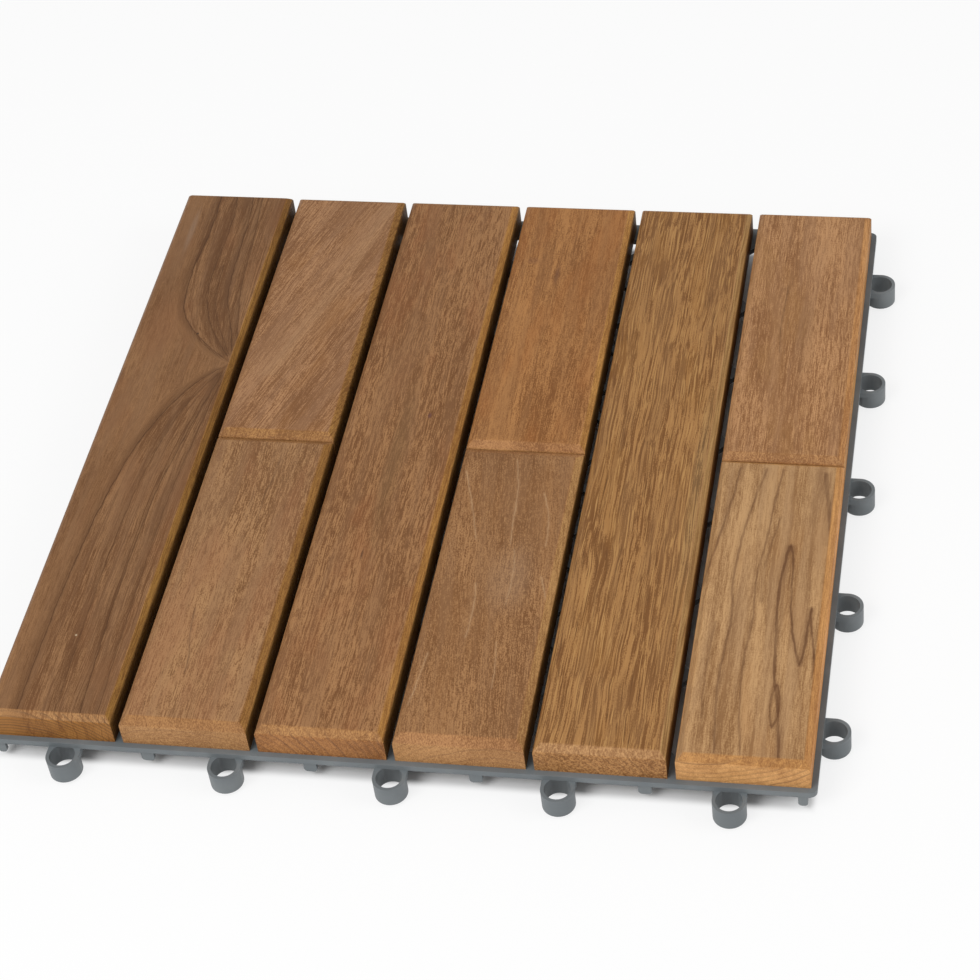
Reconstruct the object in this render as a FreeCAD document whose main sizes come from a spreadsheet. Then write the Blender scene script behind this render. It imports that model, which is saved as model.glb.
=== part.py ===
"""Interlocking deck tile: hardwood slats screwed to a moulded openwork plastic base.

Frame: X runs across the slats, Y along them, Z up. The origin is the middle of
the tile on the ground it lies on. The front (-Y) and right (+X) sides carry the
loops, and the back (+Y) and left (-X) sides carry the pegs, so that the pegs of
one tile drop into the loops of the next. All sizes are in millimetres.
"""

import FreeCAD, Part
import os

import Sketcher
from FreeCAD import Vector

doc = FreeCAD.newDocument("deck_tile")

# Driving dimensions
SIZES = {
    # the whole tile
    "tile_side": 300.0,
    "base_height": 12.0,
    "plate_thickness": 2.4,
    "corner_radius": 2.5,
    # the openwork plate: a strip round the edge, a land at each corner, ribs between nodes
    "strip_width": 10.0,
    "corner_land": 23.0,
    "cells_across": 7,
    "rib_width": 3.0,
    # screw bosses and plain feet at the nodes
    "boss_diameter": 9.5,
    "boss_bore": 7.8,
    "foot_diameter": 6.0,
    # rim wall under the two loop sides
    "wall_setback": 2.5,
    "wall_thickness": 1.5,
    "wall_depth": 3.4,
    # loops outside the edge, pegs inside it, both on the same offset
    "links_per_side": 5,
    "link_offset": 3.5,
    "loop_diameter": 12.0,
    "loop_bore": 9.4,
    "loop_height": 8.2,
    "neck_depth": 2.6,
    "peg_diameter": 6.0,
    "peg_length": 9.1,
    # locating lugs on the rim wall
    "lug_width": 4.8,
    "lug_length": 5.8,
    "end_lug_width": 3.4,
    "end_lug_length": 6.4,
    "end_lug_inset": 5.0,
    "lug_thickness": 1.5,
    "lug_overlap": 0.3,
    "lug_round": 1.4,
    "gusset_thickness": 1.4,
    "gusset_reach": 3.6,
    "gusset_drop": 4.6,
    # slats
    "slats_across": 6,
    "slat_thickness": 12.0,
    "slat_margin": 2.15,
    "slat_gap": 3.1,
    "joint_gap": 0.8,
    "slat_chamfer": 2.2,
    "slat_softening": 0.7,
    # screws driven up through the boss floors into the slats, in every other row of nodes
    "screw_rows_out": 2,
    "screw_diameter": 3.5,
    "screw_length": 11.0,
    "screw_point": 2.4,
    "head_diameter": 6.6,
    "head_height": 2.3,
    "head_crown": 0.9,
    "floor_clearance": 0.35,
    "pilot_spare": 0.4,
}

sheet = doc.addObject("Spreadsheet::Sheet", "sizes")
for row, (alias, number) in enumerate(SIZES.items(), start=1):
    sheet.set(f"A{row}", alias)
    sheet.set(f"B{row}", str(number))
    sheet.setAlias(f"B{row}", alias)
doc.recompute()

# Sizes that follow from the driving ones, as expressions on the sheet
HALF = "(sizes.tile_side / 2)"
UNDERSIDE = "(sizes.base_height - sizes.plate_thickness)"
INSIDE = f"({HALF} - sizes.strip_width)"
LAND = f"({HALF} - sizes.corner_land)"
NODE_PITCH = f"(2 * {INSIDE} / sizes.cells_across)"
NODES_OUT = "((sizes.cells_across - 1) / 2)"
LINK_PITCH = "(sizes.tile_side / sizes.links_per_side)"
FIRST_LINK = f"(-{LINK_PITCH} * (sizes.links_per_side - 1) / 2)"
LOOP_LINE = f"({HALF} + sizes.link_offset)"
PEG_LINE = f"({HALF} - sizes.link_offset)"
WALL_OUTER = f"({HALF} - sizes.wall_setback)"
WALL_INNER = f"({WALL_OUTER} - sizes.wall_thickness)"
LUG_INNER = f"({WALL_OUTER} - sizes.lug_overlap)"
FIELD = "(sizes.tile_side - 2 * sizes.slat_margin)"
SLAT_WIDTH = f"(({FIELD} - (sizes.slats_across - 1) * sizes.slat_gap) / sizes.slats_across)"
SLAT_PITCH = f"({SLAT_WIDTH} + sizes.slat_gap)"
HALF_SLAT = f"(({FIELD} - sizes.joint_gap) / 2)"
FLOOR_HOLE = "(sizes.screw_diameter + 2 * sizes.floor_clearance)"
PILOT_DEPTH = "(sizes.screw_length - sizes.plate_thickness + sizes.pilot_spare)"
QUARTER_TURN = 90


def value(expression):
    """The number that an expression on the sheet has now."""
    return float(sheet.evalExpression(expression))


def new_body(label):
    body = doc.addObject("PartDesign::Body", label)
    body.Label = label
    return body


def origin_feature(body, role):
    for feature in body.Origin.OriginFeatures:
        if feature.Role == role:
            return feature
    raise ValueError(f"{body.Label} has no {role}")


def new_sketch(body, name, level="0", plane="XY_Plane", turn=0):
    """A sketch on one of the body's origin planes, moved along its normal to a level."""
    sketch = body.newObject("Sketcher::SketchObject", name)
    sketch.AttachmentSupport = (origin_feature(body, plane), [""])
    sketch.MapMode = "FlatFace"
    sketch.AttachmentOffset = FreeCAD.Placement(Vector(), FreeCAD.Rotation(Vector(0, 0, 1), turn))
    sketch.setExpression("AttachmentOffset.Base.z", level)
    return sketch


def hold(sketch, element, point, x, y):
    """Ties a point of the sketch to the sketch's origin by two expressions."""
    for kind, expression in (("DistanceX", x), ("DistanceY", y)):
        constraint = Sketcher.Constraint(kind, -1, 1, element, point, value(expression))
        index = sketch.addConstraint(constraint)
        sketch.setExpression(f"Constraints[{index}]", expression)


def draw_polygon(sketch, corners):
    """A closed outline whose corners are pairs of expressions."""
    ends = [Vector(value(x), value(y), 0) for x, y in corners]
    first = sketch.GeometryCount
    count = len(corners)
    for index in range(count):
        sketch.addGeometry(Part.LineSegment(ends[index], ends[(index + 1) % count]), False)
    for index, (x, y) in enumerate(corners):
        following = first + (index + 1) % count
        sketch.addConstraint(Sketcher.Constraint("Coincident", first + index, 2, following, 1))
        hold(sketch, first + index, 1, x, y)


def draw_rectangle(sketch, x_low, x_high, y_low, y_high):
    draw_polygon(sketch, [(x_low, y_low), (x_high, y_low), (x_high, y_high), (x_low, y_high)])


def draw_circle(sketch, x, y, diameter):
    centre = Vector(value(x), value(y), 0)
    index = sketch.addGeometry(Part.Circle(centre, Vector(0, 0, 1), value(diameter) / 2), False)
    hold(sketch, index, 3, x, y)
    size = sketch.addConstraint(Sketcher.Constraint("Diameter", index, value(diameter)))
    sketch.setExpression(f"Constraints[{size}]", diameter)


def draw_tab(sketch, x, width, top, bottom, rounding):
    """A tab that hangs from its top line, with both lower corners rounded."""
    left, right = f"({x} - {width} / 2)", f"({x} + {width} / 2)"
    inner_left, inner_right = f"({left} + {rounding})", f"({right} - {rounding})"
    shoulder = f"({bottom} + {rounding})"
    corners = [
        (left, top), (left, shoulder), (inner_left, bottom),
        (inner_right, bottom), (right, shoulder), (right, top),
    ]
    ends = [Vector(value(a), value(b), 0) for a, b in corners]
    radius = value(rounding)
    centres = {
        1: Vector(value(inner_left), value(shoulder), 0),
        3: Vector(value(inner_right), value(shoulder), 0),
    }
    diagonal = radius * 0.5 ** 0.5
    middles = {
        1: centres[1] + Vector(-diagonal, -diagonal, 0),
        3: centres[3] + Vector(diagonal, -diagonal, 0),
    }
    for index, start in enumerate(ends):
        end = ends[(index + 1) % len(ends)]
        if index in centres:
            edge = Part.Arc(start, middles[index], end)
        else:
            edge = Part.LineSegment(start, end)
        sketch.addGeometry(edge, False)
    for index, (across, along) in enumerate(corners):
        point = 1
        following = (index + 1) % len(corners)
        sketch.addConstraint(Sketcher.Constraint("Coincident", index, 2, following, 1))
        hold(sketch, index, point, across, along)
    for index in centres:
        size = sketch.addConstraint(Sketcher.Constraint("Radius", index, radius))
        sketch.setExpression(f"Constraints[{size}]", rounding)


def pad(body, name, sketch, length, midplane=False, reverse=False):
    feature = body.newObject("PartDesign::Pad", name)
    feature.Profile = sketch
    feature.setExpression("Length", length)
    feature.Midplane = midplane
    feature.Reversed = reverse
    doc.recompute()
    return feature


def pocket_upwards(body, name, sketch, length):
    """Cuts from the sketch up into the solid, and stops the build if nothing went."""
    before = body.Shape.Volume
    feature = body.newObject("PartDesign::Pocket", name)
    feature.Profile = sketch
    feature.setExpression("Length", length)
    feature.Reversed = True
    doc.recompute()
    if feature.Shape.Volume >= before:
        raise RuntimeError(f"{name} cuts nothing")
    return feature


def linear(body, name, role, spacing, copies):
    """A row of copies along an origin axis. It is one step of a repeat."""
    feature = body.newObject("PartDesign::LinearPattern", name)
    feature.Direction = (origin_feature(body, role), [""])
    feature.Mode = "Spacing"
    feature.setExpression("Offset", spacing)
    feature.setExpression("Occurrences", copies)
    return feature


def quarter_turns(body, name, copies):
    """Copies turned about the tile's upright axis by quarter turns."""
    feature = body.newObject("PartDesign::PolarPattern", name)
    feature.Axis = (origin_feature(body, "Z_Axis"), [""])
    feature.Mode = "Spacing"
    feature.Offset = QUARTER_TURN
    feature.Occurrences = copies
    return feature


def mirror(body, name, plane):
    feature = body.newObject("PartDesign::Mirrored", name)
    feature.MirrorPlane = (origin_feature(body, plane), [""])
    return feature


def repeat(body, name, originals, steps):
    """Repeats features by several pattern steps, one after the other."""
    feature = body.newObject("PartDesign::MultiTransform", name)
    feature.Originals = originals
    feature.Transformations = steps
    body.Tip = feature
    doc.recompute()
    return feature


def node_steps(body, name):
    """The steps that repeat a feature at every node off the two middle lines."""
    return [
        linear(body, f"{name}_columns", "X_Axis", NODE_PITCH, NODES_OUT),
        linear(body, f"{name}_rows", "Y_Axis", NODE_PITCH, NODES_OUT),
        quarter_turns(body, f"{name}_quarters", 4),
    ]


def link_steps(body, name):
    """The steps that repeat a feature along one side and then on the side a quarter turn on."""
    return [
        linear(body, f"{name}_row", "X_Axis", LINK_PITCH, "sizes.links_per_side"),
        quarter_turns(body, f"{name}_sides", 2),
    ]


def edge_names(shape, wanted):
    return [f"Edge{number}" for number, edge in enumerate(shape.Edges, start=1) if wanted(edge)]


def is_outer_corner(edge):
    """Whether an edge is one of the plate's four upright outer corners."""
    box = edge.BoundBox
    reach = value(HALF) - 1e-3
    upright = box.XLength < 1e-6 and box.YLength < 1e-6
    return upright and abs(box.XMin) > reach and abs(box.YMin) > reach


def make_plate():
    """The openwork plate: diamond windows leave diagonal ribs, and a strip closes the border."""
    body = new_body("plate")
    outline = new_sketch(body, "plate_outline", UNDERSIDE)
    draw_rectangle(outline, f"-{HALF}", HALF, f"-{HALF}", HALF)
    pad(body, "plate_blank", outline, "sizes.plate_thickness")

    reach = f"({NODE_PITCH} / 2 - sizes.rib_width / sqrt(2))"
    first_x = f"-{INSIDE}"
    first_y = f"(-{NODES_OUT} * {NODE_PITCH})"
    window_outline = new_sketch(body, "window_outline", UNDERSIDE)
    draw_polygon(window_outline, [
        (f"({first_x} - {reach})", first_y), (first_x, f"({first_y} - {reach})"),
        (f"({first_x} + {reach})", first_y), (first_x, f"({first_y} + {reach})"),
    ])
    window = pocket_upwards(body, "window", window_outline, "sizes.plate_thickness")
    repeat(body, "windows", [window], [
        linear(body, "window_row", "X_Axis", NODE_PITCH, "(sizes.cells_across + 1)"),
        linear(body, "window_rows", "Y_Axis", NODE_PITCH, "sizes.cells_across"),
        quarter_turns(body, "windows_both_ways", 2),
    ])

    strip_outline = new_sketch(body, "strip_outline", UNDERSIDE)
    draw_rectangle(strip_outline, f"-{HALF}", HALF, f"-{HALF}", HALF)
    draw_polygon(strip_outline, [
        (INSIDE, f"-{LAND}"), (INSIDE, LAND), (LAND, LAND), (LAND, INSIDE),
        (f"-{LAND}", INSIDE), (f"-{LAND}", LAND), (f"-{INSIDE}", LAND), (f"-{INSIDE}", f"-{LAND}"),
        (f"-{LAND}", f"-{LAND}"), (f"-{LAND}", f"-{INSIDE}"), (LAND, f"-{INSIDE}"), (LAND, f"-{LAND}"),
    ])
    strip = pad(body, "strip", strip_outline, "sizes.plate_thickness")
    corners = body.newObject("PartDesign::Fillet", "round_corners")
    corners.Base = (strip, edge_names(strip.Shape, is_outer_corner))
    corners.setExpression("Radius", "sizes.corner_radius")
    doc.recompute()

    hole_outline = new_sketch(body, "plate_hole_outline", UNDERSIDE)
    draw_circle(hole_outline, NODE_PITCH, NODE_PITCH, FLOOR_HOLE)
    hole = pocket_upwards(body, "plate_hole", hole_outline, "sizes.plate_thickness")
    repeat(body, "plate_holes", [hole], node_steps(body, "plate_hole"))
    return body


def make_bosses():
    """Hollow bosses. Each has a floor as thick as the plate, with a hole for a screw."""
    body = new_body("bosses")
    outline = new_sketch(body, "boss_outline")
    draw_circle(outline, NODE_PITCH, NODE_PITCH, "sizes.boss_diameter")
    draw_circle(outline, NODE_PITCH, NODE_PITCH, "sizes.boss_bore")
    wall = pad(body, "boss_wall", outline, "sizes.base_height")
    floor_outline = new_sketch(body, "boss_floor_outline", UNDERSIDE)
    draw_circle(floor_outline, NODE_PITCH, NODE_PITCH, "sizes.boss_diameter")
    draw_circle(floor_outline, NODE_PITCH, NODE_PITCH, FLOOR_HOLE)
    floor = pad(body, "boss_floor", floor_outline, "sizes.plate_thickness")
    repeat(body, "boss_grid", [wall, floor], node_steps(body, "boss"))
    return body


def make_feet():
    """Plain feet at the nodes on the two middle lines."""
    body = new_body("feet")
    middle_outline = new_sketch(body, "middle_foot_outline")
    draw_circle(middle_outline, "0", "0", "sizes.foot_diameter")
    pad(body, "middle_foot", middle_outline, "sizes.base_height")
    outline = new_sketch(body, "foot_outline")
    draw_circle(outline, NODE_PITCH, "0", "sizes.foot_diameter")
    foot = pad(body, "foot", outline, "sizes.base_height")
    repeat(body, "foot_cross", [foot], [
        linear(body, "foot_line", "X_Axis", NODE_PITCH, NODES_OUT),
        quarter_turns(body, "foot_lines", 4),
    ])
    return body


def add_wall(body):
    """A low wall set in from the edge of the front and right sides."""
    outline = new_sketch(body, "wall_outline", f"({UNDERSIDE} - sizes.wall_depth)")
    draw_rectangle(outline, f"-{WALL_OUTER}", WALL_OUTER, f"-{WALL_OUTER}", f"-{WALL_INNER}")
    wall = pad(body, "wall", outline, "sizes.wall_depth")
    repeat(body, "walls", [wall], [quarter_turns(body, "wall_sides", 2)])


def add_loops(body):
    """Rings outside the edge, each on a neck from the wall, level with the plate's underside."""
    ring_bottom = f"({UNDERSIDE} - sizes.loop_height)"
    ring_outline = new_sketch(body, "loop_outline", ring_bottom)
    draw_circle(ring_outline, FIRST_LINK, f"-{LOOP_LINE}", "sizes.loop_diameter")
    ring = pad(body, "loop", ring_outline, "sizes.loop_height")
    neck_outline = new_sketch(body, "neck_outline", f"({UNDERSIDE} - sizes.neck_depth)")
    draw_rectangle(
        neck_outline,
        f"({FIRST_LINK} - sizes.loop_diameter / 2)", f"({FIRST_LINK} + sizes.loop_diameter / 2)",
        f"-{LOOP_LINE}", f"-{WALL_INNER}",
    )
    neck = pad(body, "neck", neck_outline, "sizes.neck_depth")
    repeat(body, "loops", [ring, neck], link_steps(body, "loop"))
    bore_outline = new_sketch(body, "loop_bore_outline", ring_bottom)
    draw_circle(bore_outline, FIRST_LINK, f"-{LOOP_LINE}", "sizes.loop_bore")
    bore = pocket_upwards(body, "loop_bore", bore_outline, "sizes.loop_height")
    repeat(body, "loop_bores", [bore], link_steps(body, "loop_bore"))


def add_lug(body, name, x, width, length):
    """One lug: a tab against the outside of the wall, and a gusset behind it."""
    bottom = f"({UNDERSIDE} - {length})"
    tab_outline = new_sketch(body, f"{name}_outline", LUG_INNER, plane="XZ_Plane")
    draw_tab(tab_outline, x, width, UNDERSIDE, bottom, "sizes.lug_round")
    tab = pad(body, name, tab_outline, "sizes.lug_thickness")
    gusset_outline = new_sketch(body, f"{name}_gusset_outline", x, plane="YZ_Plane")
    draw_polygon(gusset_outline, [
        (f"-{WALL_OUTER}", UNDERSIDE),
        (f"-{WALL_OUTER}", f"({UNDERSIDE} - sizes.gusset_drop)"),
        (f"-{WALL_INNER}", f"({UNDERSIDE} - sizes.gusset_drop)"),
        (f"(sizes.gusset_reach - {WALL_INNER})", UNDERSIDE),
    ])
    gusset = pad(body, f"{name}_gusset", gusset_outline, "sizes.gusset_thickness", midplane=True)
    return [tab, gusset]


def add_lugs(body):
    """Lugs halfway between the loops, and a narrower one near each free end of the rim.

    The corner where the two loop sides meet has one end lug only, on the front side.
    """
    between = f"({FIRST_LINK} + {LINK_PITCH} / 2)"
    originals = add_lug(body, "lug", between, "sizes.lug_width", "sizes.lug_length")
    repeat(body, "lugs", originals, [
        linear(body, "lug_row", "X_Axis", LINK_PITCH, "(sizes.links_per_side - 1)"),
        quarter_turns(body, "lug_sides", 2),
    ])
    end = f"({HALF} - sizes.end_lug_inset)"
    corner = add_lug(body, "end_lug", end, "sizes.end_lug_width", "sizes.end_lug_length")
    repeat(body, "left_end_lug", corner, [mirror(body, "left_end", "YZ_Plane")])
    repeat(body, "rear_end_lug", corner, [quarter_turns(body, "rear_end", 2)])


def make_rim():
    """Everything under and outside the edge of the two loop sides."""
    body = new_body("rim")
    add_wall(body)
    add_loops(body)
    add_lugs(body)
    return body


def make_pegs():
    """Solid pegs under the strip of the back and left sides."""
    body = new_body("pegs")
    outline = new_sketch(body, "peg_outline", f"({UNDERSIDE} - sizes.peg_length)")
    draw_circle(outline, FIRST_LINK, PEG_LINE, "sizes.peg_diameter")
    peg = pad(body, "peg", outline, "sizes.peg_length")
    repeat(body, "peg_rows", [peg], link_steps(body, "peg"))
    return body


def make_base():
    """The whole base is one moulding, so its regions are fused."""
    moulding = doc.addObject("Part::MultiFuse", "base_grid")
    moulding.Label = "base_grid"
    moulding.Shapes = [make_plate(), make_bosses(), make_feet(), make_rim(), make_pegs()]
    moulding.Refine = True
    doc.recompute()
    return moulding


def make_slat(label, column, centre_y, length, screw_rows):
    """One slat, drawn about its own middle and placed on the plate.

    column counts the slats from the left, from 0. screw_rows are the node rows,
    counted from the middle of the tile, whose screws go into this slat.
    """
    body = new_body(label)
    centre_x = f"(({column} - (sizes.slats_across - 1) / 2) * {SLAT_PITCH})"
    body.setExpression("Placement.Base.x", centre_x)
    body.setExpression("Placement.Base.y", centre_y)
    body.setExpression("Placement.Base.z", "sizes.base_height")
    outline = new_sketch(body, f"{label}_outline")
    draw_rectangle(
        outline, f"(-{SLAT_WIDTH} / 2)", f"({SLAT_WIDTH} / 2)", f"(-{length} / 2)", f"({length} / 2)",
    )
    pad(body, f"{label}_blank", outline, "sizes.slat_thickness")

    node_column = column + 1 - SIZES["slats_across"] // 2
    if node_column <= 0:
        node_column -= 1
    holes = new_sketch(body, f"{label}_pilot_outline")
    for screw_row in screw_rows:
        draw_circle(
            holes, f"({node_column} * {NODE_PITCH} - {centre_x})",
            f"({screw_row} * {NODE_PITCH} - ({centre_y}))", "sizes.screw_diameter",
        )
    pilots = pocket_upwards(body, f"{label}_pilots", holes, PILOT_DEPTH)

    chamfer = body.newObject("PartDesign::Chamfer", f"{label}_chamfer")
    top = value("sizes.slat_thickness") - 1e-3
    chamfer.Base = (pilots, edge_names(pilots.Shape, lambda edge: edge.BoundBox.ZMin > top))
    chamfer.setExpression("Size", "sizes.slat_chamfer")
    doc.recompute()

    shoulder = value("sizes.slat_thickness - sizes.slat_chamfer") - 1e-3
    softened = body.newObject("PartDesign::Fillet", f"{label}_softened")
    softened.Base = (chamfer, edge_names(chamfer.Shape, lambda edge: edge.BoundBox.ZMin > shoulder))
    softened.setExpression("Radius", "sizes.slat_softening")
    doc.recompute()
    return body


def make_slats():
    """Full and halved slats take turns across the tile, and each half gets its share of screws."""
    bodies = []
    half_centre = f"(({HALF_SLAT} + sizes.joint_gap) / 2)"
    for column in range(SIZES["slats_across"]):
        name = f"slat_{column + 1}"
        if column % 2 == 0:
            bodies.append(make_slat(name, column, "0", FIELD, (-3, -1, 1, 3)))
        else:
            bodies.append(make_slat(f"{name}_front", column, f"-{half_centre}", HALF_SLAT, (-3, -1)))
            bodies.append(make_slat(f"{name}_rear", column, half_centre, HALF_SLAT, (1, 3)))
    return bodies


def make_screws():
    """Pan head screws, turned about their own axis, with the head under the boss floor."""
    body = new_body("slat_screws")
    profile = new_sketch(body, "screw_profile", f"(-{NODE_PITCH})", plane="XZ_Plane")
    axis_x = NODE_PITCH
    head_radius = "sizes.head_diameter / 2"
    shank_radius = "sizes.screw_diameter / 2"
    head_bottom = f"({UNDERSIDE} - sizes.head_height)"
    tip = f"({UNDERSIDE} + sizes.screw_length)"
    draw_polygon(profile, [
        (axis_x, head_bottom),
        (f"({axis_x} + {head_radius} - sizes.head_crown)", head_bottom),
        (f"({axis_x} + {head_radius})", f"({head_bottom} + sizes.head_crown)"),
        (f"({axis_x} + {head_radius})", UNDERSIDE),
        (f"({axis_x} + {shank_radius})", UNDERSIDE),
        (f"({axis_x} + {shank_radius})", f"({tip} - sizes.screw_point)"),
        (axis_x, tip),
    ])
    screw = body.newObject("PartDesign::Revolution", "screw")
    screw.Profile = profile
    screw.ReferenceAxis = (profile, ["Edge7"])
    screw.Angle = 360
    doc.recompute()
    repeat(body, "screws", [screw], [
        linear(body, "screw_columns", "X_Axis", NODE_PITCH, NODES_OUT),
        linear(body, "screw_rows", "Y_Axis", f"(2 * {NODE_PITCH})", "sizes.screw_rows_out"),
        mirror(body, "screws_left", "YZ_Plane"),
        mirror(body, "screws_front", "XZ_Plane"),
    ])
    return body


def check_document():
    for item in doc.Objects:
        if "Invalid" in item.State or "Error" in item.State:
            raise RuntimeError(f"{item.Name} failed: {item.State}")


def write(bodies):
    os.makedirs("parts", exist_ok=True)
    for body in bodies:
        shape = body.Shape
        if shape.isNull() or not shape.isValid():
            raise RuntimeError(f"{body.Label} has no valid shape")
        shape.exportStep(f"parts/{body.Label}.step")
        box = shape.BoundBox
        print(
            f"{body.Label}: {len(shape.Solids)} solids, {shape.Volume / 1000:.2f} cm3, "
            f"x {box.XMin:.2f}..{box.XMax:.2f} y {box.YMin:.2f}..{box.YMax:.2f} "
            f"z {box.ZMin:.2f}..{box.ZMax:.2f}"
        )


pieces = [make_base(), *make_slats(), make_screws()]
doc.recompute()
check_document()
write(pieces)
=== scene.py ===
# %% [markdown]
# # Interlocking deck tile
# The tile is a moulded grey grid with oiled hardwood slats screwed on from below. The solids
# come from the part's own model, so this lesson never moves them: it puts finer pieces in
# their place, gives each slat its own grain, and lights the tile as a catalogue would.

import math

import bmesh
import bpy
from mathutils import Matrix, Vector


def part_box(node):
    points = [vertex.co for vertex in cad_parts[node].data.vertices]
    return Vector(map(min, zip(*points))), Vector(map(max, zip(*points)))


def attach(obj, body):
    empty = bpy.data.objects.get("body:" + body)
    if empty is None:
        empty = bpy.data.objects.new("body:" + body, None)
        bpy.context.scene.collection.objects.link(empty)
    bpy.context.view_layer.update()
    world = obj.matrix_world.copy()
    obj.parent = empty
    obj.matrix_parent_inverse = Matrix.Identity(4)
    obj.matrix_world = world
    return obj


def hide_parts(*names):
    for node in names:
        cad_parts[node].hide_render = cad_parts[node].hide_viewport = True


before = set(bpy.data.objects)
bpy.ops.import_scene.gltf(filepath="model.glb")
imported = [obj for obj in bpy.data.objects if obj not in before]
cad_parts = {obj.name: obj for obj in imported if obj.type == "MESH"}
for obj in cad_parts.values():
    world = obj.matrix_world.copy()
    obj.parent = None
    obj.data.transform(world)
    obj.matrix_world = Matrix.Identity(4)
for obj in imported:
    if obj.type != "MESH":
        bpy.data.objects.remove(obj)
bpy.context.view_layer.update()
MM = 0.001

# %% [markdown]
# The main sizes are measured on the solids, so that the scene follows the model when the
# model changes. Only the spacing of the grid's nodes is stated, because the screws stand there.

# %% Sizes
slat_low, slat_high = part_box("slat_1")
screw_low, screw_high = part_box("slat_screws")
SLAT_TOP = slat_high.z
SLAT_BOTTOM = slat_low.z
PLATE_TOP = SLAT_BOTTOM
PLATE_BOTTOM = PLATE_TOP - 2.4 * MM
NODE_PITCH = 40 * MM
HALF_SIDE = 150 * MM
SCREW_COLUMNS = [step * NODE_PITCH for step in (-3, -2, -1, 1, 2, 3)]
SCREW_ROWS = [step * NODE_PITCH for step in (-3, -1, 1, 3)]
print("slat top", SLAT_TOP / MM, "plate top", PLATE_TOP / MM)

# %% [markdown]
# Every piece is finished the same way: its bmesh becomes an object at the origin, rides on
# the tile's only body and gets its material. A small helper keeps that in one place.


# %% Finishing a piece
def finish_piece(bm, name, material, nodes, smooth_angle=30):
    """Turns a bmesh into a piece of the tile that stands in for CAD nodes."""
    bmesh.ops.recalc_face_normals(bm, faces=bm.faces)
    mesh = bpy.data.meshes.new(name)
    bm.to_mesh(mesh)
    bm.free()
    mesh.materials.append(material)
    for polygon in mesh.polygons:
        polygon.use_smooth = True
    mesh.set_sharp_from_angle(angle=math.radians(smooth_angle))
    piece = bpy.data.objects.new(name, mesh)
    bpy.context.scene.collection.objects.link(piece)
    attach(piece, "root")
    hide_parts(*nodes)
    print(name, "faces:", len(mesh.polygons))
    return piece


# %% [markdown]
# Colours are written as they look on a screen. Shaders work in linear light, so one function
# turns the first into the second. A second helper adds a node and fills its sockets, which
# keeps each material below short enough to read as a recipe.


# %% Colours and nodes
def linear(hex_colour):
    """A screen colour such as #A07850 as linear red, green, blue and alpha."""
    channels = [int(hex_colour[start:start + 2], 16) / 255 for start in (1, 3, 5)]
    return [c / 12.92 if c <= 0.04045 else ((c + 0.055) / 1.055) ** 2.4 for c in channels] + [1.0]


def add(tree, kind, sockets=None, **settings):
    """Adds a shader node. A socket takes a plain value, or a link from another node."""
    node = tree.nodes.new("ShaderNode" + kind)
    for name, setting in settings.items():
        setattr(node, name, setting)
    for name, content in (sockets or {}).items():
        if isinstance(content, bpy.types.NodeSocket):
            tree.links.new(content, node.inputs[name])
        else:
            node.inputs[name].default_value = content
    return node


def calc(tree, operation, *values):
    return add(tree, "Math", dict(enumerate(values)), operation=operation).outputs[0]


def mix(tree, factor, first, second, blend="MIX"):
    """Mixes two colours: factor 0 gives the first one."""
    node = add(
        tree, "Mix", {0: factor, 6: first, 7: second}, data_type="RGBA", blend_type=blend,
    )
    return node.outputs[2]


def ramp(tree, factor, low, high):
    """Smoothly 0 below low and 1 above high. With low above high it falls."""
    start, end, first, last = (low, high, 0.0, 1.0) if low < high else (high, low, 1.0, 0.0)
    node = add(
        tree, "MapRange",
        {"Value": factor, "From Min": start, "From Max": end, "To Min": first, "To Max": last},
        interpolation_type="SMOOTHSTEP",
    )
    return node.outputs["Result"]


def new_material(name):
    material = bpy.data.materials.new(name)
    material.use_nodes = True
    tree = material.node_tree
    return material, tree, tree.nodes["Principled BSDF"]


print("helpers ready:", linear("#808080")[0])

# %% [markdown]
# The wood is a solid texture, as the real thing is, laid out in millimetres from the middle of
# each slat's face. Its tone is the sum of noises of five sizes, most of them stretched along
# the grain: specks, fibres, streaks, bands and blotches. The same fibres come out as specks on
# a sawn end.


# %% Grain
def stretched_noise(tree, place, across, along, detail=2.0):
    """Noise whose features measure so many millimetres across and along the grain."""
    vector = add(
        tree, "VectorMath", {0: place, 1: (1 / across, 1 / along, 1 / across)},
        operation="MULTIPLY",
    ).outputs[0]
    sockets = {"Vector": vector, "Scale": 1.0, "Detail": detail, "Roughness": 0.6}
    return add(tree, "TexNoise", sockets)


def tone_of(tree, place, parts):
    """A value round 0.5 from noises, each given as width, length, weight and softness."""
    tone = 0.5
    for across, along, weight, softness in parts:
        noise = stretched_noise(tree, place, across, along, 1.0).outputs["Fac"]
        crisp = ramp(tree, noise, 0.5 - softness, 0.5 + softness)
        tone = calc(tree, "ADD", tone, calc(tree, "MULTIPLY_ADD", crisp, weight, -weight / 2))
    return tone


def shaded(hex_colour, factors):
    return [channel * factor for channel, factor in zip(linear(hex_colour), factors)] + [1.0]


print("grain helpers ready")

# %% [markdown]
# Some slats show more than plain grain. A vein is a thin dark line whose course along the slat
# is a float curve through a few points. A patch is a soft oval of another colour, such as a grey bloom,
# a knot, a speck of resin and a scratch made paler by a painted highlight. Near a knot the growth lines
# crowd together at the edge.


# %% Veins, patches and a knot
CURVE_WIDTH = 60.0


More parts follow.
